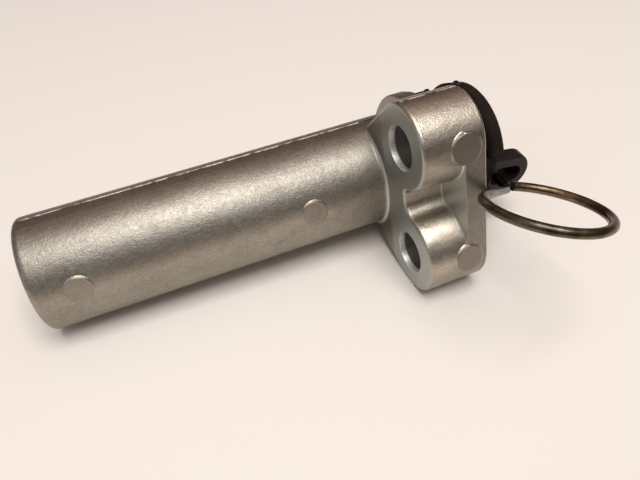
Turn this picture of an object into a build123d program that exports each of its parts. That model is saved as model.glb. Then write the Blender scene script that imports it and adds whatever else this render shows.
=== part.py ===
"""Hydraulic timing belt tensioner, held compressed by its pull pin.

A die-cast body with two bolt lugs beside a closed cylinder. A steel plunger, its oil seal,
return spring and check valve are inside. A black moulded boot with two slotted ears is on
the nose. The pull pin's straight leg runs through the ears and the plunger.
Units are millimetres. +X is the way the plunger pushes. The origin is on the plunger's axis,
in the plane of the face that bolts to the engine. The body is rolled about X the way it lies.
"""
from build123d import *
from math import atan, cos, degrees, radians, sin, tan
import os

os.makedirs("parts", exist_ok=True)

# Driving dimensions: M8 bolts in 9 mm holes set the scale.
bolt_hole_r = 4.5
bolt_pitch_r = 23.0           # each bolt's distance from the plunger's axis
bolt_spacing = 24.0
cyl_r = 12.0
blind_x = -87.7               # closed end of the cylinder
lug_x = -13.4                 # flat faces under the bolt heads
plate_x = -4.7                # inner face of the mounting plate
mount_x = 0.0                 # face that bolts to the engine
lug_r = 9.0
web_r = 8.0                   # half width of the web where it meets the cylinder
collar_r = 15.4
collar_x = -3.4               # back of the cast collar
pilot_r = 15.1                # turned face of the collar that centres in the engine
pilot_x = 1.5
nose_r = 11.0
nose_x = 9.0
bore_r = 9.0
bore_end_x = -83.1
roll = 15.0                   # the bolt side lies this much above level, in degrees

# Moving and sealing pieces.
rod_r = 5.0
rod_tip_x = 19.0
rod_root_x = -38.0            # shoulder that stands on the piston
piston_r = 7.0
sleeve_bore_r = 7.08
fit_gap = 0.05                # radial gap of the running fits
press_gap = 0.02              # radial gap drawn where a piece is pressed in

# Pull pin: the ears, and so the pin, are turned a little from the middle of the bolts.
wire_r = 0.92
pin_turn = 18.4               # from the middle of the two bolts, in degrees
pin_x = 12.8
ring_r = 11.04

# Directions across the axis: die is the way the mould opened, down is across it.
die = Vector(0, -cos(radians(roll)), sin(radians(roll)))
down = Vector(0, -sin(radians(roll)), -cos(radians(roll)))
pin_out = die * cos(radians(pin_turn)) + down * sin(radians(pin_turn))
x_way = Vector(1, 0, 0)
bolt_t = bolt_spacing / 2
bolt_d = (bolt_pitch_r**2 - bolt_t**2) ** 0.5


def across(x):
    """Plane across the axis at x, with die as its first direction and down as its second."""
    return Plane(origin=(x, 0, 0), x_dir=die, z_dir=x_way)


def facing(x, distance, sideways, way):
    """Plane that faces away from the axis along way, at a distance from it."""
    side = x_way.cross(way)
    return Plane(origin=x_way * x + way * distance + side * sideways, x_dir=x_way, z_dir=way)


def off_axis(edge):
    """Distance from the plunger's axis to the middle of an edge."""
    middle = edge @ 0.5
    return (middle.Y**2 + middle.Z**2) ** 0.5


def save(part, name):
    part.label = name
    export_step(part, f"parts/{name}.step")


# Bolt block of the casting: two columns and a web, with a pocket between the columns, on the
# mounting plate. Its edges are rounded here, before it joins the cylinder.
pocket_d = 19.4               # the pocket's floor, from the axis
pocket_corner = 1.6
overlap = 0.5                 # how far joined solids run into each other
lug_round = 0.7
mount_round = 0.5
bolt_centres = ((bolt_d, -bolt_t), (bolt_d, bolt_t))
with BuildPart() as bolt_block:
    with BuildSketch(across(lug_x)) as web:
        with Locations(*bolt_centres):
            Circle(lug_r)
        Circle(web_r)
        make_hull()
        with Locations((pocket_d + lug_r, 0)):
            Rectangle(2 * lug_r, 2 * bolt_t, mode=Mode.SUBTRACT)
        with Locations(*bolt_centres):
            Circle(lug_r)
        corners = web.vertices().sort_by_distance((pocket_d, 0))[:2]
        fillet(corners, pocket_corner)
    extrude(amount=plate_x - lug_x + overlap)
    with BuildSketch(across(plate_x)):
        with Locations(*bolt_centres):
            Circle(lug_r)
        Circle(cyl_r)
        make_hull()
    extrude(amount=mount_x - plate_x)
    for face_x, soft_edge in ((lug_x, lug_round), (mount_x, mount_round)):
        face_edges = bolt_block.edges().filter_by_position(Axis.X, face_x - 0.01, face_x + 0.01)
        fillet(face_edges, soft_edge)

# Housing: one aluminium die casting, with the cylinder, collar and nose turned round the axis.
end_round = 1.5
collar_round = 0.6
pilot_chamfer = 0.4
root_fillet = 1.0             # where the bolt block grows out of the cylinder
with BuildPart() as housing:
    with BuildSketch(Plane.XZ):
        with BuildLine():
            Polyline(
                (blind_x, 0),
                (blind_x, cyl_r),
                (collar_x, cyl_r),
                (collar_x, collar_r),
                (mount_x, collar_r),
                (mount_x, pilot_r),
                (pilot_x - pilot_chamfer, pilot_r),
                (pilot_x, pilot_r - pilot_chamfer),
                (pilot_x, nose_r),
                (nose_x, nose_r),
                (nose_x, 0),
                close=True,
            )
        make_face()
    revolve(axis=Axis.X)
    round_edges = housing.edges().filter_by(GeomType.CIRCLE).sort_by(Axis.X)
    fillet(round_edges[0], end_round)
    back_edge = housing.edges().filter_by_position(Axis.X, collar_x - 0.01, collar_x + 0.01)
    fillet(back_edge.filter_by(lambda e: abs(off_axis(e) - collar_r) < 0.01), collar_round)
    add(bolt_block.part)
    root_edges = housing.edges().filter_by(lambda e: abs(off_axis(e) - cyl_r) < 0.05)
    root_edges = root_edges.filter_by(lambda e: lug_x - 0.05 < (e @ 0.5).X < plate_x - 0.1)
    fillet(root_edges, root_fillet)

    # Ejector pads: flat discs that face the way the mould opened, each given by its place
    # along the axis, its place across, its radius and its height from the axis.
    pad_depth = 1.5
    pad_edge = 0.12
    low_pad = cyl_r + 0.15
    high_pad = bolt_d + lug_r + 0.28
    for pad_x, pad_t, pad_r, pad_top in (
        (-78.8, 0, 2.75, low_pad),
        (-30.5, 0, 2.75, low_pad),
        (-4.4, -bolt_t, 3.1, high_pad),
        (-4.4, bolt_t, 2.95, high_pad),
    ):
        with BuildSketch(facing(pad_x, pad_top - pad_depth, pad_t, die)):
            Circle(pad_r)
        extrude(amount=pad_depth)
        pad_rim = housing.edges().filter_by(lambda e: abs((e @ 0.5).dot(die) - pad_top) < 0.01)
        fillet(pad_rim, pad_edge)

    # Flash left along the line where the two halves of the mould met.
    flash_half = 0.15
    flash_root = 0.3
    for line_d, line_t, start_x, stop_x in (
        (0, -cyl_r, blind_x + end_round, lug_x),
        (0, cyl_r, blind_x + end_round, lug_x),
        (bolt_d, -bolt_t - lug_r, lug_x + lug_round, mount_x - mount_round),
        (bolt_d, bolt_t + lug_r, lug_x + lug_round, mount_x - mount_round),
    ):
        outward = 1 if line_t > 0 else -1
        with BuildSketch(across(start_x)):
            with BuildLine():
                Polyline(
                    (line_d - 2 * flash_half, line_t - outward * flash_root),
                    (line_d + 2 * flash_half, line_t - outward * flash_root),
                    (line_d, line_t + outward * flash_half),
                    close=True,
                )
            make_face()
        extrude(amount=stop_x - start_x)

    # Bolt holes, the bore and the groove for the snap ring.
    lead_in_r = 4.7
    lead_in_deep = 1.2
    lead_in_taper = degrees(atan((lead_in_r - bolt_hole_r) / lead_in_deep))
    groove_x = 6.0
    groove_wide = 1.2
    groove_r = 9.9
    with BuildSketch(across(lug_x - 1)):
        with Locations(*bolt_centres):
            Circle(bolt_hole_r)
    extrude(amount=mount_x - lug_x + 2, mode=Mode.SUBTRACT)
    with BuildSketch(across(lug_x)):
        with Locations(*bolt_centres):
            Circle(lead_in_r)
    extrude(amount=lead_in_deep, taper=lead_in_taper, mode=Mode.SUBTRACT)
    with BuildSketch(across(bore_end_x)):
        Circle(bore_r)
    extrude(amount=nose_x - bore_end_x, mode=Mode.SUBTRACT)
    with BuildSketch(across(groove_x)):
        Circle(groove_r)
    extrude(amount=groove_wide, mode=Mode.SUBTRACT)
save(housing.part, "housing")

# Chamber sleeve: a steel cup pressed into the bore, in which the piston runs.
sleeve_end_x = -13.0
sleeve_floor = 1.5
o_ring_x = -76.0
o_ring_groove_r = 7.8
o_ring_groove_half = 0.7
pressed_r = bore_r - press_gap
with BuildPart() as chamber_sleeve:
    with BuildSketch(across(bore_end_x)):
        Circle(pressed_r)
    extrude(amount=sleeve_end_x - bore_end_x)
    with BuildSketch(across(bore_end_x + sleeve_floor)):
        Circle(sleeve_bore_r)
    extrude(amount=sleeve_end_x - bore_end_x - sleeve_floor, mode=Mode.SUBTRACT)
    with BuildSketch(across(o_ring_x - o_ring_groove_half)):
        Circle(bore_r + 1)
        Circle(o_ring_groove_r, mode=Mode.SUBTRACT)
    extrude(amount=2 * o_ring_groove_half, mode=Mode.SUBTRACT)
save(chamber_sleeve.part, "chamber_sleeve")

# Rubber ring in the sleeve's groove, which keeps the chamber's pressure off the bore.
o_ring_wire_r = 0.58
with BuildPart() as sleeve_o_ring:
    with BuildSketch(Plane.XZ):
        with Locations((o_ring_x, o_ring_groove_r + o_ring_wire_r + press_gap)):
            Circle(o_ring_wire_r)
    revolve(axis=Axis.X)
save(sleeve_o_ring.part, "sleeve_o_ring")

# Steel washer on the sleeve's floor, on which the return spring stands.
seat_x = bore_end_x + sleeve_floor
seat_thick = 0.8
seat_hole_r = 3.0
with BuildPart() as spring_seat:
    with BuildSketch(across(seat_x)):
        Circle(sleeve_bore_r - 2 * fit_gap)
        Circle(seat_hole_r, mode=Mode.SUBTRACT)
    extrude(amount=seat_thick)
save(spring_seat.part, "spring_seat")

# Guide bush: a bronze bearing that stands on the sleeve's end and carries the plunger.
bush_end_x = -1.0
bush_bore_r = rod_r + fit_gap
bush_chamfer = 0.4
with BuildPart() as guide_bush:
    with BuildSketch(across(sleeve_end_x)):
        Circle(pressed_r)
        Circle(bush_bore_r, mode=Mode.SUBTRACT)
    extrude(amount=bush_end_x - sleeve_end_x)
    mouth_edges = guide_bush.edges().filter_by(GeomType.CIRCLE)
    chamfer(mouth_edges.filter_by(lambda e: e.radius < bush_bore_r + 0.1), bush_chamfer)
save(guide_bush.part, "guide_bush")

# Thin washer between the bush and the seal.
washer_thick = 0.8
washer_hole_r = 5.6
with BuildPart() as seal_washer:
    with BuildSketch(across(bush_end_x)):
        Circle(pressed_r)
        Circle(washer_hole_r, mode=Mode.SUBTRACT)
    extrude(amount=washer_thick)
save(seal_washer.part, "seal_washer")

# Oil seal: a pressed steel case, a rubber lip moulded in it and a ring spring round the lip.
seal_x = bush_end_x + washer_thick
seal_end_x = groove_x
case_wall = 0.7
case_mouth_r = 6.8
case_inner_r = pressed_r - case_wall
case_front_x = seal_end_x - case_wall
with BuildPart() as seal_case:
    with BuildSketch(Plane.XZ):
        with BuildLine():
            Polyline(
                (seal_x, pressed_r),
                (seal_end_x, pressed_r),
                (seal_end_x, case_mouth_r),
                (case_front_x, case_mouth_r),
                (case_front_x, case_inner_r),
                (seal_x, case_inner_r),
                close=True,
            )
        make_face()
    revolve(axis=Axis.X)
save(seal_case.part, "seal_case")

lip_edge_r = bush_bore_r      # both lips just clear the rod
lip_x = 1.3                   # the oil lip, under the ring spring
dust_lip_x = 4.9
lip_back_r = 6.5              # the ring spring lies on this
lip_root_x = 3.3
lip_skirt = 0.8
with BuildPart() as seal_lip:
    with BuildSketch(Plane.XZ):
        with BuildLine():
            Polyline(
                (case_front_x, case_inner_r),
                (lip_root_x, case_inner_r),
                (lip_root_x, lip_back_r + lip_skirt),
                (lip_x + 0.6, lip_back_r),
                (lip_x - 0.6, lip_back_r),
                (lip_x - 0.8, lip_edge_r + 0.75),
                (lip_x, lip_edge_r),
                (lip_x + 0.9, lip_edge_r + 0.65),
                (dust_lip_x - 1.0, lip_edge_r + 0.85),
                (dust_lip_x, lip_edge_r),
                (case_front_x, lip_edge_r + 0.45),
                close=True,
            )
        make_face()
    revolve(axis=Axis.X)
save(seal_lip.part, "seal_lip")

garter_wire_r = 0.4
with BuildPart() as garter_spring:
    with BuildSketch(Plane.XZ):
        with Locations((lip_x, lip_back_r + garter_wire_r + 0.01)):
            Circle(garter_wire_r)
    revolve(axis=Axis.X)
save(garter_spring.part, "garter_spring")

# Snap ring: an open ring with two eyes, in the groove in front of the seal.
snap_outer_r = 9.85
snap_inner_r = 8.2
snap_gap = 50.0               # the ring is open over this many degrees
eye_pitch_r = 7.6
eye_r = 1.25
eye_hole_r = 0.6
eye_turn = snap_gap / 2 + 8   # each eye's place, in degrees from the middle of the gap
with BuildPart() as snap_ring:
    with BuildSketch(across(groove_x)):
        Circle(snap_outer_r)
        Circle(snap_inner_r, mode=Mode.SUBTRACT)
        with BuildLine():
            reach = 14.0
            half_gap = radians(snap_gap / 2)
            Polyline(
                (0, 0),
                (reach * cos(half_gap), -reach * sin(half_gap)),
                (reach * cos(half_gap), reach * sin(half_gap)),
                close=True,
            )
        make_face(mode=Mode.SUBTRACT)
        with PolarLocations(eye_pitch_r, 2, start_angle=-eye_turn, angular_range=4 * eye_turn):
            Circle(eye_r)
            Circle(eye_hole_r, mode=Mode.SUBTRACT)
    extrude(amount=groove_wide)
save(snap_ring.part, "snap_ring")

# Dust boot: black moulding on the nose, with a bead at its foot and a rim at its open mouth.
# Two flat ears run on from the rim, each with a slot for the pull pin.
neck_r = 12.7
bead_r = 14.2
bead_x = (3.1, 6.3)
bead_soft = 0.4
rim_r = 14.6
rim_x = (10.6, 15.1)
rim_lip = 0.5
mouth_r = 11.4
grip_r = nose_r + press_gap
ear_face = 14.3
ear_back = 11.2
ear_turn_x = 11.2             # the ears droop about this place, by this many degrees
ear_droop = 9.0
ear_half = 5.1
ear_run = (-4.0, 10.9)        # start and end of an ear, from the place it droops about
ear_soft = 0.6
slot_half = 2.4
slot_run = (0.4, 8.6)
guide_wall = 1.0              # lip inside each ear, round the slot
guide_back = 9.4
ear_straight = ear_run[1] - ear_half - ear_run[0]
slot_long = slot_run[1] - slot_run[0]
slot_middle = (slot_run[0] + slot_run[1]) / 2
ear_fall = x_way.cross(pin_out)
ear_way = x_way * cos(radians(ear_droop)) + ear_fall * sin(radians(ear_droop))


def ear_plane(side, distance):
    """Plane along the ear of one side, at a distance from the axis, turned by its droop."""
    middle = x_way * ear_turn_x + pin_out * side * distance
    return Plane(origin=middle, x_dir=ear_way, z_dir=pin_out * side)


with BuildPart() as ears:
    for side in (1, -1):
        with BuildSketch(ear_plane(side, ear_back)):
            with Locations((ear_run[0] + ear_straight / 2, 0)):
                Rectangle(ear_straight, 2 * ear_half)
            with Locations((ear_run[1] - ear_half, 0)):
                Circle(ear_half)
        extrude(amount=ear_face - ear_back)
    outer_edges = ears.edges().filter_by(lambda e: abs((e @ 0.5).dot(pin_out)) > ear_face - 0.01)
    fillet(outer_edges, ear_soft)
    for side in (1, -1):
        with BuildSketch(ear_plane(side, guide_back)):
            with Locations((slot_middle, 0)):
                SlotOverall(slot_long + 2 * guide_wall, 2 * (slot_half + guide_wall))
        extrude(amount=ear_face - guide_back - guide_wall)

with BuildPart() as dust_boot:
    with BuildSketch(Plane.XZ):
        with BuildLine():
            Polyline(
                (pilot_x, grip_r),
                (pilot_x, neck_r),
                (bead_x[0], neck_r),
                (bead_x[0], bead_r - bead_soft),
                (bead_x[0] + bead_soft, bead_r),
                (bead_x[1] - bead_soft, bead_r),
                (bead_x[1], bead_r - bead_soft),
                (bead_x[1], neck_r),
                (rim_x[0], neck_r),
                (rim_x[0], rim_r - rim_lip),
                (rim_x[0] + rim_lip, rim_r),
                (rim_x[1] - rim_lip, rim_r - rim_lip),
                (rim_x[1], rim_r - 2 * rim_lip),
                (rim_x[1], mouth_r),
                (nose_x, mouth_r),
                (nose_x, grip_r),
                close=True,
            )
        make_face()
    revolve(axis=Axis.X)
    add(ears.part)
    for side in (1, -1):
        with BuildSketch(ear_plane(side, guide_back - 1)):
            with Locations((slot_middle, 0)):
                SlotOverall(slot_long, 2 * slot_half)
        extrude(amount=ear_face, mode=Mode.SUBTRACT)
save(dust_boot.part, "dust_boot")

# Plunger: a ground steel rod with a stem for the piston, an oilway and the pin's cross hole.
stem_r = 3.5
stem_x = -48.0
rod_chamfer = 0.5
pin_hole_r = wire_r + 0.3
oilway_r = 1.2
oilway_deep = 13.0
oil_port_r = 0.9
tip_stem_r = 2.0
tip_stem_deep = 3.0
through = 2 * rod_r + 2
with BuildPart() as plunger:
    with BuildSketch(across(rod_root_x)):
        Circle(rod_r)
    extrude(amount=rod_tip_x - rod_root_x)
    chamfer(plunger.edges().filter_by(GeomType.CIRCLE), rod_chamfer)
    with BuildSketch(across(stem_x)):
        Circle(stem_r)
    extrude(amount=rod_root_x - stem_x)
    with BuildSketch(across(stem_x)):
        Circle(oilway_r)
    extrude(amount=oilway_deep, mode=Mode.SUBTRACT)
    for hole_x, hole_r, hole_way in (
        (stem_x + oilway_deep - 0.5, oil_port_r, down),
        (pin_x, pin_hole_r, pin_out),
    ):
        with BuildSketch(facing(hole_x, -through / 2, 0, hole_way)):
            Circle(hole_r)
        extrude(amount=through, mode=Mode.SUBTRACT)
    with BuildSketch(across(rod_tip_x - tip_stem_deep)):
        Circle(tip_stem_r)
    extrude(amount=tip_stem_deep, mode=Mode.SUBTRACT)
save(plunger.part, "plunger")

# Hardened tip pressed into the plunger's end, with a domed face that meets the idler's arm.
tip_edge = 0.4
tip_rise = 0.9
tip_r = 4.3
tip_stem = tip_stem_deep - 0.2
dome_r = (tip_r**2 + tip_rise**2) / (2 * tip_rise)
with BuildPart() as rod_tip:
    with BuildSketch(across(rod_tip_x - tip_stem)):
        Circle(tip_stem_r - press_gap)
    extrude(amount=tip_stem)
    with BuildSketch(across(rod_tip_x)):
        Circle(tip_r)
    extrude(amount=tip_edge + tip_rise)
    with Locations((rod_tip_x + tip_edge + tip_rise - dome_r, 0, 0)):
        Sphere(dome_r, mode=Mode.INTERSECT)
save(rod_tip.part, "rod_tip")

# Piston: steel, on the plunger's stem, with the valve's port through its boss.
piston_x = -50.0
boss_x = -53.0
boss_r = 4.0
port_r = 1.2
port_chamfer = 0.3
wear_x = (-46.0, -43.0)
wear_groove_r = 6.2
stem_hole_r = stem_r + press_gap
with BuildPart() as piston:
    with BuildSketch(Plane.XZ):
        with BuildLine():
            Polyline(
                (boss_x, port_r + port_chamfer),
                (boss_x, boss_r),
                (piston_x, boss_r),
                (piston_x, piston_r),
                (wear_x[0], piston_r),
                (wear_x[0], wear_groove_r),
                (wear_x[1], wear_groove_r),
                (wear_x[1], piston_r),
                (rod_root_x, piston_r),
                (rod_root_x, stem_hole_r),
                (stem_x, stem_hole_r),
                (stem_x, port_r),
                (boss_x + port_chamfer, port_r),
                close=True,
            )
        make_face()
    revolve(axis=Axis.X)
save(piston.part, "piston")

# Wear ring: a split plastic band in the piston's groove.
wear_split = 0.5
with BuildPart() as wear_ring:
    with BuildSketch(across(wear_x[0] + fit_gap)):
        Circle(sleeve_bore_r - 0.04)
        Circle(wear_groove_r + fit_gap, mode=Mode.SUBTRACT)
        with Locations((wear_groove_r, 0)):
            Rectangle(3, wear_split, mode=Mode.SUBTRACT)
    extrude(amount=wear_x[1] - wear_x[0] - 2 * fit_gap)
save(wear_ring.part, "wear_ring")

# Check valve: a ball under the port, a light spring and the pressed cage that holds both.
ball_r = 1.95
ball_x = boss_x - 1.62
cage_end_x = -58.6
cage_wall = 0.45
cage_brim_r = 6.6
cage_hole_r = 0.6
cage_inner_r = boss_r + press_gap
cage_slot_x = -55.8
cage_slot = (3.6, 1.8)
with BuildPart() as check_cage:
    with BuildSketch(Plane.XZ):
        with BuildLine():
            Polyline(
                (piston_x, cage_inner_r),
                (piston_x, cage_brim_r),
                (piston_x - cage_wall, cage_brim_r),
                (piston_x - cage_wall, cage_inner_r + cage_wall),
                (cage_end_x, cage_inner_r + cage_wall),
                (cage_end_x, cage_hole_r),
                (cage_end_x + cage_wall, cage_hole_r),
                (cage_end_x + cage_wall, cage_inner_r),
                close=True,
            )
        make_face()
    revolve(axis=Axis.X)
    with BuildSketch(facing(cage_slot_x, 0, 0, down)):
        SlotOverall(*cage_slot)
    extrude(amount=cage_brim_r, both=True, mode=Mode.SUBTRACT)
save(check_cage.part, "check_cage")

with BuildPart() as check_ball:
    with Locations((ball_x, 0, 0)):
        Sphere(ball_r)
save(check_ball.part, "check_ball")


def coil(start_x, end_x, mean_r, wire, turns):
    """Compression spring along X, with its wire's ends just inside start_x and end_x."""
    run = end_x - start_x - 2 * wire
    foot = (start_x + wire, 0, 0)
    with BuildPart() as spring:
        with BuildLine() as line:
            Helix(pitch=run / turns, height=run, radius=mean_r, center=foot, direction=(1, 0, 0))
        path = line.wire()
        with BuildSketch(Plane(origin=path @ 0, z_dir=path % 0)):
            Circle(wire)
        sweep(path=path, is_frenet=True)
    return spring.part


valve_coil_r = 1.05
valve_wire_r = 0.14
return_coil_r = 5.8
return_wire_r = 0.68
valve_spring = coil(cage_end_x + cage_wall, ball_x - ball_r, valve_coil_r, valve_wire_r, 3.0)
save(valve_spring, "check_spring")
main_spring = coil(seat_x + seat_thick, piston_x - cage_wall, return_coil_r, return_wire_r, 8.0)
save(main_spring, "return_spring")

# Pull pin: one bent wire. A straight leg, a knee, a neck that comes back over the outer edge
# of the mounting plate, then the finger ring, which stays open by a gap.
leg_foot = -16.0              # the leg's far end, measured along the leg from the axis
knee_out = 19.0
knee_r = 2.5
neck_points = ((5.31, -24.43, 5.11), (-3.36, -31.11, 12.5))
ring_start = 212.0
ring_stop = 488.5
foot_round = 0.4
ring_plane = Plane(
    origin=(2.53, -39.79, 13.94),
    x_dir=(0.664, -0.748, 0),
    z_dir=(0.287, 0.255, 0.923),
)


def on_ring(angle):
    """Point on the ring's circle at an angle."""
    turned = (ring_r * cos(radians(angle)), ring_r * sin(radians(angle)), 0)
    return ring_plane.from_local_coords(turned)


knee = x_way * pin_x + pin_out * knee_out
neck_way = (Vector(*neck_points[0]) - knee).normalized()
setback = knee_r * tan(radians(pin_out.get_angle(neck_way) / 2))
bend_start = knee - pin_out * setback
bend_end = knee + neck_way * setback
ring_way = ring_plane.z_dir.cross(on_ring(ring_start) - ring_plane.origin).normalized()
with BuildPart() as pull_pin:
    with BuildLine() as wire_path:
        Line(x_way * pin_x + pin_out * leg_foot, bend_start)
        TangentArc(bend_start, bend_end, tangent=pin_out)
        Spline(bend_end, *neck_points, on_ring(ring_start), tangents=(neck_way, ring_way))
        ThreePointArc(
            on_ring(ring_start),
            on_ring((ring_start + ring_stop) / 2),
            on_ring(ring_stop),
        )
    path = wire_path.wire()
    with BuildSketch(Plane(origin=path @ 0, z_dir=pin_out)):
        Circle(wire_r)
    sweep(path=path)
    fillet(pull_pin.edges().group_by(lambda e: e.center().dot(pin_out))[0], foot_round)
save(pull_pin.part, "pull_pin")
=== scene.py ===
"""Looks of the hydraulic timing belt tensioner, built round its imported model."""
from math import atan2, cos, degrees, pi, radians, sin

import bmesh
import bpy
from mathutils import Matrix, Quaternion, Vector


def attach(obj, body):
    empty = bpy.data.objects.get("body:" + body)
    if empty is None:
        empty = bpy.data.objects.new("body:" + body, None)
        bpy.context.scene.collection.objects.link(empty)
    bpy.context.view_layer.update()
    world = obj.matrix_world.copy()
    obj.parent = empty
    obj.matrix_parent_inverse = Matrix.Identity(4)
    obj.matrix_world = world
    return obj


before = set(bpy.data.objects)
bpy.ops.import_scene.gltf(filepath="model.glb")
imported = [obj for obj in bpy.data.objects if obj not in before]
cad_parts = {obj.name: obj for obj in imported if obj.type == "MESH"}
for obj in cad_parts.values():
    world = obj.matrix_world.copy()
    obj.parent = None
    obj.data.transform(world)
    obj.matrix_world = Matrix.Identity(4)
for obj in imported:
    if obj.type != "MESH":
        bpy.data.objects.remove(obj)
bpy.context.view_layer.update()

# Housing: one aluminium die casting, left as it came out of the mould. Its skin is a fine
# pebbled grey. The bolt holes, the pilot and the face that meets the engine are machined.
mm = 0.001
roll = radians(15)
x_way = Vector((1, 0, 0))
die_way = Vector((0, -cos(roll), sin(roll)))
down_way = Vector((0, -sin(roll), -cos(roll)))
bolt_out, bolt_half = 19.62 * mm, 12 * mm
lug_x, plate_x = -13.4 * mm, -4.7 * mm
cyl_r, lug_r, column_top = 12 * mm, 9 * mm, 28.62 * mm
low_pads = ((-78.8 * mm, 0, 2.75 * mm), (-30.5 * mm, 0, 2.75 * mm))
lead_in_r, lead_in_deep = 4.7 * mm, 1.2 * mm
block_foot, root_wide, seam_half = 12 * mm, 0.9 * mm, 0.35 * mm
bare_cast, scoured_cast = (0.30, 0.272, 0.24), (0.36, 0.332, 0.292)
# The flat faces' cooler grey is a painted reflection and the plate's pale grey is painted light; the
# pads' grey is their own.
flat_face_painted_cool, plate_painted_light, pad_face = (0.41, 0.42, 0.39), (0.68, 0.7, 0.65), (0.30, 0.266, 0.228)
# The root's pale grey is a painted highlight, and the hole walls' grey is lightened by painted light.
root_painted_highlight, hole_wall_painted_light = (0.56, 0.57, 0.56), (0.45, 0.44, 0.42)
drilled_dull, drilled_bright = (0.72, 0.72, 0.69), (0.95, 0.95, 0.92)
# The flash's dark and pale patches are painted shade and highlight.
seam_painted_shade, seam_painted_highlight = (0.09, 0.072, 0.06), (0.36, 0.31, 0.28)


class Finish:
    """One material: its shader, and the steps that its patterns are made of."""

    def __init__(self, name, metallic):
        self.material = bpy.data.materials.new(name)
        self.material.use_nodes = True
        tree = self.material.node_tree
        tree.nodes.clear()
        self.nodes, self.links = tree.nodes, tree.links
        self.shader = self.nodes.new("ShaderNodeBsdfPrincipled")
        self.shader.inputs["Metallic"].default_value = metallic
        output = self.nodes.new("ShaderNodeOutputMaterial")
        self.links.new(self.shader.outputs[0], output.inputs["Surface"])
        self.place = self.nodes.new("ShaderNodeTexCoord").outputs["Object"]

    def feed(self, socket, value):
        """Gives a socket a number, a colour or another step's result."""
        if isinstance(value, (int, float)):
            socket.default_value = value
        elif isinstance(value, tuple):
            socket.default_value = (*value, 1)[: len(socket.default_value)]
        else:
            self.links.new(value, socket)

    def stretched(self, stretch):
        """The place on the piece, drawn out along one way, for streaks."""
        node = self.nodes.new("ShaderNodeMapping")
        node.inputs["Scale"].default_value = stretch
        self.links.new(self.place, node.inputs["Vector"])
        return node.outputs[0]

    def noise(self, size, detail=2.0, roughness=0.5, place=None):
        """Noise whose features are about size across."""
        node = self.nodes.new("ShaderNodeTexNoise")
        node.inputs["Scale"].default_value = 1 / size
        node.inputs["Detail"].default_value = detail
        node.inputs["Roughness"].default_value = roughness
        self.links.new(place or self.place, node.inputs["Vector"])
        return node.outputs["Fac"]

    def math(self, operation, first, second=0.0):
        """A sum on two values."""
        node = self.nodes.new("ShaderNodeMath")
        node.operation = operation
        self.feed(node.inputs[0], first)
        self.feed(node.inputs[1], second)
        return node.outputs[0]

    def both(self, first, second):
        """One mask where another holds too."""
        return self.math("MULTIPLY", first, second)

    def gap(self, value, place):
        """How far a value is from place, either way."""
        return self.math("ABSOLUTE", self.math("SUBTRACT", value, place))

    def along(self, way):
        """How far the place lies along way, from the frame's origin on the plunger's axis."""
        node = self.nodes.new("ShaderNodeVectorMath")
        node.operation = "DOT_PRODUCT"
        self.links.new(self.place, node.inputs[0])
        node.inputs[1].default_value = way
        return node.outputs["Value"]

    def facing(self, way):
        """How far the surface faces along way, from -1 to 1."""
        node = self.nodes.new("ShaderNodeVectorMath")
        node.operation = "DOT_PRODUCT"
        self.links.new(self.nodes.new("ShaderNodeTexCoord").outputs["Normal"], node.inputs[0])
        node.inputs[1].default_value = way
        return node.outputs["Value"]

    def span(self, value, low, high):
        """0 below low and 1 above high, smooth between. Turned round where low is the larger."""
        node = self.nodes.new("ShaderNodeMapRange")
        node.interpolation_type = "SMOOTHSTEP"
        start, end = min(low, high), max(low, high)
        node.inputs["From Min"].default_value = start
        node.inputs["From Max"].default_value = end
        node.inputs["To Min"].default_value = 0 if low < high else 1
        node.inputs["To Max"].default_value = 1 if low < high else 0
        self.links.new(value, node.inputs["Value"])
        return node.outputs["Result"]

    def from_line(self, first, first_at, second, second_at):
        """Distance from a line, by two distances across it."""
        one = self.math("SUBTRACT", first, first_at)
        two = self.math("SUBTRACT", second, second_at)
        total = self.math("ADD", self.math("MULTIPLY", one, one), self.math("MULTIPLY", two, two))
        return self.math("SQRT", total)

    def ramp(self, value, stops):
        """A value turned into a colour or another value, by (place, colour) stops."""
        node = self.nodes.new("ShaderNodeValToRGB")
        elements = node.color_ramp.elements
        while len(elements) < len(stops):
            elements.new(0.5)
        for element, (place, colour) in zip(elements, stops):
            element.position = place
            red_green_blue = colour if isinstance(colour, tuple) else (colour,) * 3
            element.color = (*red_green_blue, 1)
        self.links.new(value, node.inputs["Fac"])
        return node.outputs["Color"]

    def mix(self, share, first, second, kind="MIX"):
        """Two colours mixed by share."""
        node = self.nodes.new("ShaderNodeMix")
        node.data_type = "RGBA"
        node.blend_type = kind
        self.feed(node.inputs["Factor"], share)
        self.feed(node.inputs[6], first)
        self.feed(node.inputs[7], second)
        return node.outputs[2]

    def tint(self, share, colour, factor):
        """A colour taken towards factor times itself."""
        return self.mix(share, colour, self.mix(1.0, colour, factor, "MULTIPLY"))

    def blend(self, share, first, second):
        """Two values mixed by share."""
        node = self.nodes.new("ShaderNodeMix")
        self.feed(node.inputs["Factor"], share)
        self.feed(node.inputs[2], first)
        self.feed(node.inputs[3], second)
        return node.outputs[0]

    def bump(self, heights):
        """Bumps one on another, each given as (height, depth in metres, strength)."""
        last = None
        for height, depth, strength in heights:
            node = self.nodes.new("ShaderNodeBump")
            node.inputs["Distance"].default_value = depth
            self.feed(node.inputs["Strength"], strength)
            self.links.new(height, node.inputs["Height"])
            if last is not None:
                self.links.new(last, node.inputs["Normal"])
            last = node.outputs[0]
        self.links.new(last, self.shader.inputs["Normal"])


def drilled_areas(paint, x, out, across):
    """Masks of the bolt holes' walls and of their lead-in at the front."""
    from_bolt = paint.from_line(out, bolt_out, paint.math("ABSOLUTE", across), bolt_half)
    drilled = paint.span(from_bolt, lead_in_r + 0.06 * mm, lead_in_r)
    mouth_end = lug_x + lead_in_deep
    return drilled, paint.both(paint.span(x, mouth_end + 0.03 * mm, mouth_end), drilled)


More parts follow.
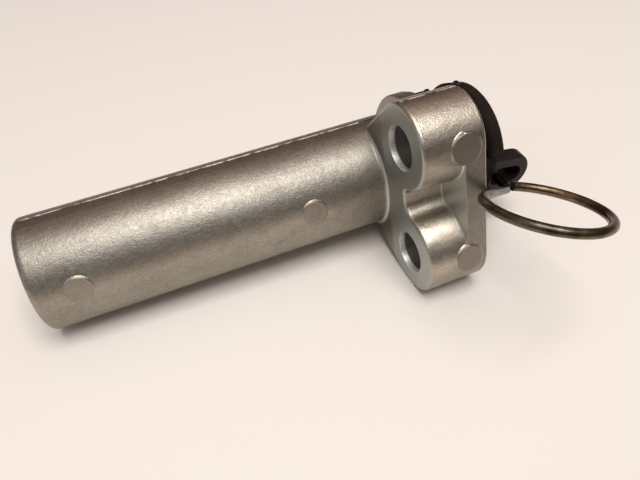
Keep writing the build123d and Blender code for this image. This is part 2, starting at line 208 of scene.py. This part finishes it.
def flat_areas(paint, x, out):
    """Masks of the flat faces across the axis, and of the plate's own among them, which gets painted
    light.
    """
    flats = paint.span(paint.math("ABSOLUTE", paint.facing(x_way)), 0.5, 0.95)
    flats = paint.both(flats, paint.span(out, block_foot - 0.2 * mm, block_foot + 0.6 * mm))
    return flats, paint.both(flats, paint.span(x, plate_x - 1 * mm, plate_x - 0.5 * mm))


def column_area(paint, x, out):
    """Mask of the bolt columns and the pocket between them, without the flat of the plate's rim; it lays
    painted light on them and makes them glossier.
    """
    round_side = paint.span(paint.facing(die_way), 0.99, 0.93)
    column_light_and_gloss = paint.math("MAXIMUM", paint.span(x, plate_x + 0.2 * mm, plate_x), round_side)
    return paint.both(column_light_and_gloss, paint.span(out, block_foot - 1 * mm, block_foot + 1 * mm))


def root_area(paint, x, out, across):
    """Mask of the soft root where the cylinder runs into the columns, where a highlight is painted."""
    root = paint.span(x, lug_x - root_wide - 0.4 * mm, lug_x - root_wide)
    root = paint.both(root, paint.span(x, lug_x, lug_x - 0.2 * mm))
    off_axis = paint.from_line(out, 0.0, across, 0.0)
    return paint.both(root, paint.span(off_axis, cyl_r + 0.1 * mm, cyl_r + 0.3 * mm))


def pad_area(paint, x, out, across):
    """Mask of the ejector pads, whole on the columns and faint on the cylinder."""
    faint = 0.35
    off_block = paint.span(out, block_foot + 0.6 * mm, block_foot + 0.1 * mm)
    pads = paint.span(out, column_top + 0.12 * mm, column_top + 0.2 * mm)
    for pad_x, pad_t, pad_r in low_pads:
        disc = paint.span(paint.from_line(x, pad_x, across, pad_t), pad_r, pad_r - 0.1 * mm)
        disc = paint.both(disc, paint.span(out, cyl_r - 0.4 * mm, cyl_r - 0.1 * mm))
        pads = paint.math("ADD", pads, paint.math("MULTIPLY", paint.both(disc, off_block), faint))
    return pads


def seam_area(paint, out, across):
    """Mask of the flash along the line where the mould's halves met, where its step's shade and highlight
    are painted.
    """
    sideways = paint.math("ABSOLUTE", across)
    seam = None
    for seam_out, surface in ((0, cyl_r), (bolt_out, bolt_half + lug_r)):
        near = paint.span(paint.gap(out, seam_out), seam_half + 0.05 * mm, seam_half - 0.05 * mm)
        near = paint.both(near, paint.span(sideways, surface - 0.2 * mm, surface - 0.05 * mm))
        seam = near if seam is None else paint.math("MAXIMUM", seam, near)
    return seam


def cast_aluminium():
    """Grainy die-cast skin, smoother on the faces and pads, bright where it was drilled. Painted light
    lies on it: reflection tints above and below, lighter columns, faces, plate back and hole walls, a
    root highlight, and shade and highlight on the flash.
    """
    paint = Finish("cast_aluminium", 1.0)
    x, out, across = paint.along(x_way), paint.along(die_way), paint.along(down_way)
    drilled, mouth = drilled_areas(paint, x, out, across)
    flats, plate = flat_areas(paint, x, out)
    column_light_and_gloss = column_area(paint, x, out)
    pads = pad_area(paint, x, out, across)
    smooth = paint.math("MINIMUM", paint.math("ADD", flats, pads), 1.0)
    grain = paint.noise(0.32 * mm, 2.5, 0.7)
    pebble = paint.noise(0.8 * mm, 2.0, 0.6)
    wave = paint.noise(5 * mm, 2.0, 0.5)
    skin = paint.ramp(paint.noise(9 * mm, 3.0, 0.55), [(0.3, bare_cast), (0.7, scoured_cast)])
    fleck = paint.ramp(grain, [(0.36, 0.84), (0.5, 0.98), (0.62, 1.12)])
    stain = paint.ramp(paint.noise(2.2 * mm, 4.0, 0.7), [(0.3, (0.86, 0.84, 0.8)), (0.5, 1.0)])
    skin = paint.mix(1.0, skin, fleck, "MULTIPLY")
    skin = paint.mix(1.0, skin, stain, "MULTIPLY")
    fall = paint.facing(down_way)
    # Painted reflection: surfaces facing up, on the cylinder and the upper column, take a mauve tint for
    # the room they mirror.
    above = paint.both(paint.span(fall, -0.7, -0.98), paint.span(across, 1 * mm, -1 * mm))
    skin = paint.tint(above, skin, (1.0, 0.91, 0.87))
    # Painted reflection: surfaces facing down take a pale greenish tint for the floor they mirror.
    skin = paint.tint(paint.span(fall, 0.2, 0.7), skin, (0.98, 1.0, 0.93))
    # Painted light: the columns' upper sides are lightened far above the skin's grey, their undersides
    # left as they are.
    skin = paint.tint(paint.both(column_light_and_gloss, paint.span(fall, 0.45, -0.15)), skin, (1.62, 1.57, 1.5))
    # Painted highlight: a pale line along the root where the cylinder meets the columns.
    skin = paint.mix(root_area(paint, x, out, across), skin, root_painted_highlight)
    # Painted reflection: the flat faces take a lighter, cooler grey for the cool side light they mirror,
    # on a smoother skin.
    skin = paint.mix(flats, skin, flat_face_painted_cool)
    # Painted light: the plate's back, shaded by the columns, is lightened to a pale grey.
    skin = paint.mix(plate, skin, plate_painted_light)
    skin = paint.mix(pads, skin, pad_face)
    # Painted shade and highlight: the flash is broken into dark and pale patches, for the light on its
    # small step.
    broken = paint.ramp(paint.noise(3 * mm, 2.0, 0.5), [(0.42, seam_painted_shade), (0.54, seam_painted_highlight)])
    skin = paint.mix(seam_area(paint, out, across), skin, broken)
    streak = paint.noise(0.5 * mm, 3.0, 0.6, paint.stretched((0.06, 1, 1)))
    bright = paint.ramp(streak, [(0.3, drilled_dull), (0.7, drilled_bright)])
    # Painted light: the machined walls deep in the bolt holes are lightened against their shade.
    skin = paint.mix(drilled, skin, hole_wall_painted_light)
    paint.feed(paint.shader.inputs["Base Color"], paint.mix(mouth, skin, bright))
    paint.feed(paint.shader.inputs["Metallic"], paint.blend(mouth, 1.0, 0.7))
    gloss = paint.ramp(pebble, [(0.3, 0.41), (0.7, 0.5)])
    gloss = paint.math("SUBTRACT", gloss, paint.math("MULTIPLY", column_light_and_gloss, 0.09))
    gloss = paint.blend(smooth, gloss, 0.44)
    paint.feed(paint.shader.inputs["Roughness"], paint.blend(drilled, gloss, 0.4))
    rough_skin = paint.blend(paint.math("MAXIMUM", smooth, drilled), 1.0, 0.15)
    fine = paint.math("MULTIPLY", rough_skin, 0.6)
    soft = paint.math("MULTIPLY", rough_skin, 0.4)
    paint.bump([(wave, 0.4 * mm, 0.15), (pebble, 0.1 * mm, soft), (grain, 0.1 * mm, fine)])
    return paint.material


def wear(node, material):
    """Finishes a CAD node in a material, and changes nothing else of it."""
    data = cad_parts[node].data
    data.materials.clear()
    data.materials.append(material)


casting = cast_aluminium()
wear("housing", casting)


def finish_piece(name, mesh, body):
    """Puts a finished mesh in the scene, riding its body."""
    piece = bpy.data.objects.new(name, mesh)
    bpy.context.scene.collection.objects.link(piece)
    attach(piece, body)


def make_piece(name, points, faces, material, body, slot):
    """A closed piece from points and faces, with its faces turned outward."""
    mesh = bpy.data.meshes.new(name)
    mesh.from_pydata(points, [], faces)
    shape = bmesh.new()
    shape.from_mesh(mesh)
    bmesh.ops.recalc_face_normals(shape, faces=shape.faces)
    shape.to_mesh(mesh)
    shape.free()
    mesh.shade_smooth()
    mesh.set_sharp_from_angle(angle=radians(40))
    mesh.materials.append(material)
    finish_piece(name, mesh, body)


def tube(rows, closed=False):
    """Points and faces of a skin through rows of points, joined in a ring or capped."""
    count = len(rows[0])
    points = [point for row in rows for point in row]
    faces = []
    for row in range(len(rows) if closed else len(rows) - 1):
        here = row * count
        there = (row + 1) % len(rows) * count
        for i in range(count):
            j = (i + 1) % count
            faces.append((here + i, here + j, there + j, there + i))
    if not closed:
        faces += [tuple(range(count)), tuple(range(len(points) - count, len(points)))]
    return points, faces


def across_point(x, out, across):
    """A point by its place along the axis, out along the mould's way and across it."""
    return x_way * x + die_way * out + down_way * across


# Pocket of the casting, in the same metal and the same pour. Its corner at the lower bolt
# flows round in a wide curve, its front edge is rounded, and a small fillet runs along the
# foot of both columns where they grow out of the plate.
pocket_out, low_corner, high_corner = 19.4 * mm, 3.6 * mm, 1.6 * mm
foot_fillet, edge_round, lift = 0.45 * mm, 0.75 * mm, 0.012 * mm
skin_deep, buried = 1.2 * mm, 0.5 * mm
quarter_turn = range(0, 91, 15)


def arc(middle, radius, start, stop, steps, hollow=False):
    """Places along an arc of the profile, each with the way that faces out of the metal."""
    rows = []
    for step in range(steps + 1):
        angle = radians(start + (stop - start) * step / steps)
        way = (cos(angle), sin(angle))
        place = (middle[0] + radius * way[0], middle[1] + radius * way[1])
        rows.append((place, (-way[0], -way[1]) if hollow else way))
    return rows


def corner(radius):
    """Place and angle of a hollow corner that touches the pocket's floor and a column."""
    rise = pocket_out + radius - bolt_out
    reach = ((lug_r + radius) ** 2 - rise**2) ** 0.5
    return rise, bolt_half - reach, degrees(atan2(reach, rise))


low_rise, low_across, low_turn = corner(low_corner)
high_rise, high_across, high_turn = corner(high_corner)
low_middle = (bolt_out + low_rise, low_across)
high_middle = (bolt_out + high_rise, -high_across)
profile = arc((bolt_out, bolt_half), lug_r, -2, -low_turn, 24)
profile += arc(low_middle, low_corner, 180 - low_turn, 180, 16, hollow=True)[1:]
profile += arc(high_middle, high_corner, 180, 180 + high_turn, 12, hollow=True)
profile += arc((bolt_out, -bolt_half), lug_r, high_turn, 2, 24)[1:]
rows = []
for (out, across), (way_out, way_across) in profile:
    height_left = (column_top - out) / max(way_out, 0.05)
    foot = min(foot_fillet, 0.9 * max(height_left, 0.002 * mm))
    section = []
    for a in quarter_turn:
        section.append((plate_x - foot + foot * cos(radians(a)), foot - foot * sin(radians(a))))
    for a in quarter_turn:
        bend = edge_round * cos(radians(a)) - edge_round
        section.append((lug_x + edge_round - edge_round * sin(radians(a)) - lift, bend))
    section.append((lug_x - lift, -edge_round - 0.1 * mm))
    section.append((lug_x + buried, -skin_deep))
    section.append((plate_x + buried, -skin_deep))
    section.append((plate_x + buried, foot))
    row = []
    for x, off in section:
        proud = off + lift
        row.append(across_point(x, out + way_out * proud, across + way_across * proud))
    rows.append(row)
make_piece("pocket_skin", *tube(rows), casting, "housing_body", "cast_aluminium")

# Ejector pads: round discs in the casting's skin, pressed by the pins that push it out of its
# mould. Each has a soft skirt where the metal drew up round the pin's end.
high_pads = ((-4.4 * mm, -bolt_half, 3.1 * mm), (-4.4 * mm, bolt_half, 2.95 * mm))
low_proud, high_proud = 0.15 * mm, 0.28 * mm
skirt_wide, skirt_deep, skirt_lap, pad_edge = 0.4 * mm, 0.3 * mm, 0.05 * mm, 0.12 * mm
pad_steps = 96


def metal_height(x, across):
    """How far out the casting's skin lies under a pad."""
    if x < lug_x:
        return (cyl_r**2 - across**2) ** 0.5
    if x < plate_x:
        return bolt_out + (lug_r**2 - (abs(across) - bolt_half) ** 2) ** 0.5
    return column_top


for number, (pad_x, pad_t, pad_r) in enumerate(low_pads + high_pads):
    pad_top = column_top + high_proud if pad_t else cyl_r + low_proud
    rows = []
    foot_r = pad_r + skirt_wide
    top = pad_top - pad_edge
    for step in range(pad_steps):
        angle = 2 * pi * step / pad_steps
        ground = metal_height(pad_x + foot_r * cos(angle), pad_t + foot_r * sin(angle))
        section = [(pad_r - skirt_lap, top)]
        for part in (0.25, 0.5, 0.75, 1.0):
            rise = (top - ground) * (1 - part) ** 2 - 0.01 * mm
            section.append((pad_r + skirt_wide * part, ground + rise))
        section += [(foot_r, ground - skirt_deep), (pad_r - skirt_lap, ground - skirt_deep)]
        row = []
        for r, out in section:
            row.append(across_point(pad_x + r * cos(angle), out, pad_t + r * sin(angle)))
        rows.append(row)
    make_piece(f"pad_skirt_{number}", *tube(rows, closed=True), casting, "housing_body", "cast_aluminium")

# Dust boot: black rubbery plastic, moulded with a bead, a rim and two slotted ears, and
# pushed over the nose of the casting.
recess_start, recess_end = 12.4 * mm, 11.8 * mm
clean_black, dusty_black = (0.010, 0.0075, 0.007), (0.017, 0.013, 0.012)
# The recess black is painted shade.
recess_painted_shade, rubber_sheen = (0.002, 0.0015, 0.0015), (1.0, 0.72, 0.66, 1)


def boot_rubber():
    """Black moulded rubber, a little greyed by dust, with painted shade darkening it towards the casting.
    """
    paint = Finish("boot_rubber", 0.0)
    fine = paint.noise(0.5 * mm, 2.0, 0.6)
    broad = paint.noise(5 * mm, 2.0, 0.5)
    tone = paint.ramp(broad, [(0.3, clean_black), (0.7, dusty_black)])
    # Painted shade: the boot darkens towards the casting, where the recess by its rim lies in shade.
    recess = paint.span(paint.along(x_way), recess_start, recess_end)
    tone = paint.mix(paint.math("MULTIPLY", recess, 0.8), tone, recess_painted_shade)
    paint.feed(paint.shader.inputs["Base Color"], tone)
    gloss = paint.ramp(fine, [(0.3, 0.36), (0.7, 0.5)])
    paint.feed(paint.shader.inputs["Roughness"], paint.blend(recess, gloss, 0.62))
    paint.shader.inputs["Specular IOR Level"].default_value = 0.2
    paint.shader.inputs["Specular Tint"].default_value = rubber_sheen
    paint.bump([(fine, 0.03 * mm, 0.5)])
    return paint.material


rubber = boot_rubber()
wear("dust_boot", rubber)

# Flash nubs: three small lumps of the boot's own rubber, where its mould let a little out.
# One sits on the bead and two on the rim, and each stands straight out from the boot.
nub_length, nub_width, nub_height = 0.5 * mm, 0.9 * mm, 0.34 * mm
nub_measures = ("Half length", "Half width", "Height")
nub_segments, nub_rings = 20, 12
bead_nub, low_rim_nub, high_rim_nub = (6.1, 14.15, 61), (13.3, 14.35, 66), (13.2, 14.35, 79)


def flash_nubs(tree_name):
    """A tree that sets a flattened lump on each point, straight out from the plunger's axis."""
    tree = bpy.data.node_groups.new(tree_name, "GeometryNodeTree")
    tree.interface.new_socket("Places", in_out="INPUT", socket_type="NodeSocketGeometry")
    for label in nub_measures:
        tree.interface.new_socket(label, in_out="INPUT", socket_type="NodeSocketFloat")
    tree.interface.new_socket("Rubber", in_out="INPUT", socket_type="NodeSocketMaterial")
    tree.interface.new_socket("Nubs", in_out="OUTPUT", socket_type="NodeSocketGeometry")
    given = tree.nodes.new("NodeGroupInput")
    place = tree.nodes.new("GeometryNodeInputPosition")
    outward = tree.nodes.new("ShaderNodeVectorMath")
    outward.operation = "MULTIPLY"
    outward.inputs[1].default_value = (0, 1, 1)
    turn = tree.nodes.new("FunctionNodeAlignRotationToVector")
    turn.axis, turn.pivot_axis = "Z", "X"
    lump = tree.nodes.new("GeometryNodeMeshUVSphere")
    lump.inputs["Segments"].default_value = nub_segments
    lump.inputs["Rings"].default_value = nub_rings
    size = tree.nodes.new("ShaderNodeCombineXYZ")
    set_down = tree.nodes.new("GeometryNodeInstanceOnPoints")
    real = tree.nodes.new("GeometryNodeRealizeInstances")
    coat = tree.nodes.new("GeometryNodeSetMaterial")
    result = tree.nodes.new("NodeGroupOutput")
    link = tree.links.new
    link(place.outputs[0], outward.inputs[0])
    link(outward.outputs[0], turn.inputs["Vector"])
    for axis, label in zip("XYZ", nub_measures):
        link(given.outputs[label], size.inputs[axis])
    link(given.outputs["Places"], set_down.inputs["Points"])
    link(lump.outputs["Mesh"], set_down.inputs["Instance"])
    link(turn.outputs[0], set_down.inputs["Rotation"])
    link(size.outputs[0], set_down.inputs["Scale"])
    link(set_down.outputs[0], real.inputs[0])
    link(real.outputs[0], coat.inputs["Geometry"])
    link(given.outputs["Rubber"], coat.inputs["Material"])
    link(coat.outputs[0], result.inputs[0])
    return tree


def grown(name, places, tree, inputs):
    """The plain mesh that a tree makes on the given places."""
    seed = bpy.data.objects.new(name, bpy.data.meshes.new(name))
    seed.data.from_pydata(places, [], [])
    bpy.context.scene.collection.objects.link(seed)
    growth = seed.modifiers.new(name, "NODES")
    growth.node_group = tree
    for item in tree.interface.items_tree:
        if item.in_out == "INPUT" and item.name in inputs:
            growth[item.identifier] = inputs[item.name]
    view_state = bpy.context.evaluated_depsgraph_get()
    mesh = bpy.data.meshes.new_from_object(seed.evaluated_get(view_state))
    bpy.data.objects.remove(seed)
    mesh.name = name
    return mesh


nub_places = []
for nub_x, out_r, turned in (bead_nub, low_rim_nub, high_rim_nub):
    angle = radians(turned)
    nub_places.append(Vector((nub_x, out_r * cos(angle), out_r * sin(angle))) * mm)
nub_inputs = dict(zip(nub_measures, (nub_length, nub_width, nub_height)))
nub_inputs["Rubber"] = rubber
nubs = grown("boot_nubs", nub_places, flash_nubs("flash_nubs"), nub_inputs)
nubs.shade_smooth()
finish_piece("boot_nubs", nubs, "housing_body")

# Pull pin: hard spring wire, bent cold and passivated to a brown bronze. Its leg goes through
# the boot's ears and the plunger, and its ring hangs in the air.
ring_way = Vector((0.92, -0.38, 0))
ring_near, ring_far = 14 * mm, 36 * mm
# The leg's near black is painted shade.
ring_foot, leg_top, leg_painted_shade = -30 * mm, -27 * mm, (0.02, 0.015, 0.012)
wire_olive, wire_bronze = (0.13, 0.112, 0.08), (0.175, 0.135, 0.088)
wire_brown, wire_red = (0.2, 0.134, 0.084), (0.16, 0.092, 0.07)
worn_dark, worn_light = (0.55, 0.52, 0.5), (1.2, 1.2, 1.2)


def pin_wire():
    """Patchy drawn wire, olive to reddish brown along its ring, with its leg painted near black as
    painted shade.
    """
    paint = Finish("pin_wire", 1.0)
    broad = paint.noise(3 * mm, 3.0, 0.6)
    fine = paint.noise(0.6 * mm, 2.0, 0.6)
    uneven = paint.math("MULTIPLY", broad, 6 * mm)
    along_ring = paint.math("ADD", paint.along(ring_way), uneven)
    share = paint.span(along_ring, ring_near, ring_far)
    browns = [(0.0, wire_olive), (0.3, wire_bronze), (0.65, wire_brown), (0.95, wire_red)]
    worn = paint.ramp(broad, [(0.35, worn_dark), (0.62, worn_light)])
    tone = paint.mix(1.0, paint.ramp(share, browns), worn, "MULTIPLY")
    # Painted shade: the leg is painted near black where it runs into the dark slot of the ears.
    leg = paint.span(paint.along(Vector((0, 1, 0))), ring_foot, leg_top)
    paint.feed(paint.shader.inputs["Base Color"], paint.mix(leg, tone, leg_painted_shade))
    paint.feed(paint.shader.inputs["Roughness"], paint.ramp(fine, [(0.3, 0.26), (0.7, 0.38)]))
    paint.bump([(fine, 0.02 * mm, 0.4)])
    return paint.material


wear("pull_pin", pin_wire())

# Inner pieces: the plunger and its parts are ground or turned from steel, the cage and the
# seal's case are pressed from it, and the springs are wound. The bush is bronze, and the seal's
# lip, the ring in the sleeve's groove and the piston's band have the boot's black.
steel_pieces = (
    "plunger", "rod_tip", "piston", "check_ball", "chamber_sleeve", "spring_seat", "seal_washer",
    "seal_case", "snap_ring", "check_cage", "garter_spring", "check_spring", "return_spring",
)
black_pieces = ("seal_lip", "sleeve_o_ring", "wear_ring")
steel_grey, steel_gloss = (0.56, 0.56, 0.55), 0.22
bronze_brown, bronze_gloss = (0.55, 0.38, 0.18), 0.3


def plain_metal(name, colour, roughness):
    """Turned or pressed metal with a fine grain."""
    paint = Finish(name, 1.0)
    fine = paint.noise(0.4 * mm, 2.0, 0.6)
    turned = paint.noise(0.3 * mm, 2.0, 0.5, paint.stretched((1, 0.04, 0.04)))
    dark = tuple(0.93 * part for part in colour)
    paint.feed(paint.shader.inputs["Base Color"], paint.ramp(fine, [(0.3, dark), (0.7, colour)]))
    gloss = paint.ramp(turned, [(0.3, roughness), (0.7, roughness + 0.08)])
    paint.feed(paint.shader.inputs["Roughness"], gloss)
    paint.bump([(turned, 0.006 * mm, 0.4)])
    return paint.material


steel = plain_metal("ground_steel", steel_grey, steel_gloss)
for node in steel_pieces:
    wear(node, steel)
wear("guide_bush", plain_metal("bush_bronze", bronze_brown, bronze_gloss))
for node in black_pieces:
    wear(node, rubber)

# Floor of the stage: a pale, matt sheet that the casting lies on, level with its lowest
# places. It gets darker on the camera's side, which the metal mirrors.
floor_height, floor_slope, floor_half = -15.53 * mm, -0.0414, 2.0
floor_pale, floor_shade = (0.93, 0.86, 0.81), (0.19, 0.175, 0.16)
shade_start, shade_end = 62 * mm, 200 * mm
floor_mesh = bpy.data.meshes.new("floor")
floor_corners = []
for x_side, y_side in ((-1, -1), (1, -1), (1, 1), (-1, 1)):
    x, y = x_side * floor_half, y_side * floor_half
    floor_corners.append((x, y, floor_height + floor_slope * x))
floor_mesh.from_pydata(floor_corners, [], [(0, 1, 2, 3)])
floor = bpy.data.objects.new("floor", floor_mesh)
bpy.context.scene.collection.objects.link(floor)
paint = Finish("floor_paint", 0.0)
shade = paint.span(paint.along(Vector((0, -1, 0))), shade_start, shade_end)
paint.feed(paint.shader.inputs["Base Color"], paint.mix(shade, floor_pale, floor_shade))
paint.shader.inputs["Roughness"].default_value = 0.9
paint.shader.inputs["Specular IOR Level"].default_value = 0.1
floor_mesh.materials.append(paint.material)

# Room round the stage: dark towards the ground, paler towards the ceiling, and warmer on the
# side away from the camera. It fills the soft reflections between the two lamps.
room_heights = (
    (0.0, (0.05, 0.043, 0.039)),
    (0.35, (0.1, 0.085, 0.08)),
    (0.75, (0.41, 0.4, 0.39)),
    (1.0, (0.55, 0.54, 0.52)),
)
warm_start, warm_end, warm_wall = -0.1, 0.6, (0.95, 0.78, 0.7, 1)
room = bpy.data.worlds.new("room")
bpy.context.scene.world = room
room.use_nodes = True
nodes, links = room.node_tree.nodes, room.node_tree.links
nodes.clear()
coords = nodes.new("ShaderNodeTexCoord")
split = nodes.new("ShaderNodeSeparateXYZ")
links.new(coords.outputs["Generated"], split.inputs[0])
walls = nodes.new("ShaderNodeValToRGB")
heights = walls.color_ramp.elements
while len(heights) < len(room_heights):
    heights.new(0.5)
for element, (height, colour) in zip(heights, room_heights):
    element.position = height
    element.color = (*colour, 1)
links.new(split.outputs["Z"], walls.inputs["Fac"])
far_side = nodes.new("ShaderNodeMapRange")
far_side.inputs["From Min"].default_value = warm_start
far_side.inputs["From Max"].default_value = warm_end
links.new(split.outputs["Y"], far_side.inputs["Value"])
warmed = nodes.new("ShaderNodeMix")
warmed.data_type, warmed.blend_type = "RGBA", "MULTIPLY"
warmed.inputs[7].default_value = warm_wall
links.new(far_side.outputs[0], warmed.inputs["Factor"])
links.new(walls.outputs["Color"], warmed.inputs[6])
background = nodes.new("ShaderNodeBackground")
links.new(warmed.outputs[2], background.inputs["Color"])
output = nodes.new("ShaderNodeOutputWorld")
links.new(background.outputs[0], output.inputs["Surface"])

# Lamps: one large soft lamp nearly overhead gives the shadow under the casting. A weak and
# cooler one shines on the casting's blind end.
lamp_aim, lamp_distance = Vector((-30, -10, 0)) * mm, 0.9
ceiling_way, ceiling_size, ceiling_watts = (0.06, -0.28, 0.94), 0.5, 6.1
window_way, window_size, window_watts = (-0.85, -0.2, 0.45), 0.4, 0.5
ceiling_white, window_blue = (1.0, 0.975, 0.94), (0.82, 0.93, 1.0)


def soft_lamp(name, way, size, watts, colour):
    """A square soft lamp that shines on the middle of the object from way."""
    light = bpy.data.lights.new(name, "AREA")
    light.size = size
    light.energy = watts
    light.color = colour
    lamp = bpy.data.objects.new(name, light)
    lamp.location = lamp_aim + Vector(way).normalized() * lamp_distance
    lamp.rotation_mode = "QUATERNION"
    lamp.rotation_quaternion = (lamp_aim - lamp.location).to_track_quat("-Z", "Y")
    bpy.context.scene.collection.objects.link(lamp)


soft_lamp("ceiling_lamp", ceiling_way, ceiling_size, ceiling_watts, ceiling_white)
soft_lamp("window_lamp", window_way, window_size, window_watts, window_blue)

# View: the photograph's place, aim and lean, worked out from the casting's own outlines. The
# colours are shown as they are, without a film curve.
sensor_width, lens_length = 36, 31.11
camera_place = Vector((-58.07, -93.29, 80.54)) * mm
camera_aim, camera_lean = Vector((-28.91, -8.55, -8.17)) * mm, radians(-5.07)
camera_data = bpy.data.cameras.new("camera")
camera_data.sensor_width = sensor_width
camera_data.lens = lens_length
camera = bpy.data.objects.new("camera", camera_data)
camera.location = camera_place
camera.rotation_mode = "QUATERNION"
upright = (camera_aim - camera_place).to_track_quat("-Z", "Y")
camera.rotation_quaternion = upright @ Quaternion((0, 0, 1), camera_lean)
camera_data.clip_start, camera_data.clip_end = 0.005, 20
bpy.context.scene.collection.objects.link(camera)
bpy.context.scene.camera = camera
bpy.context.scene.view_settings.view_transform = "Standard"
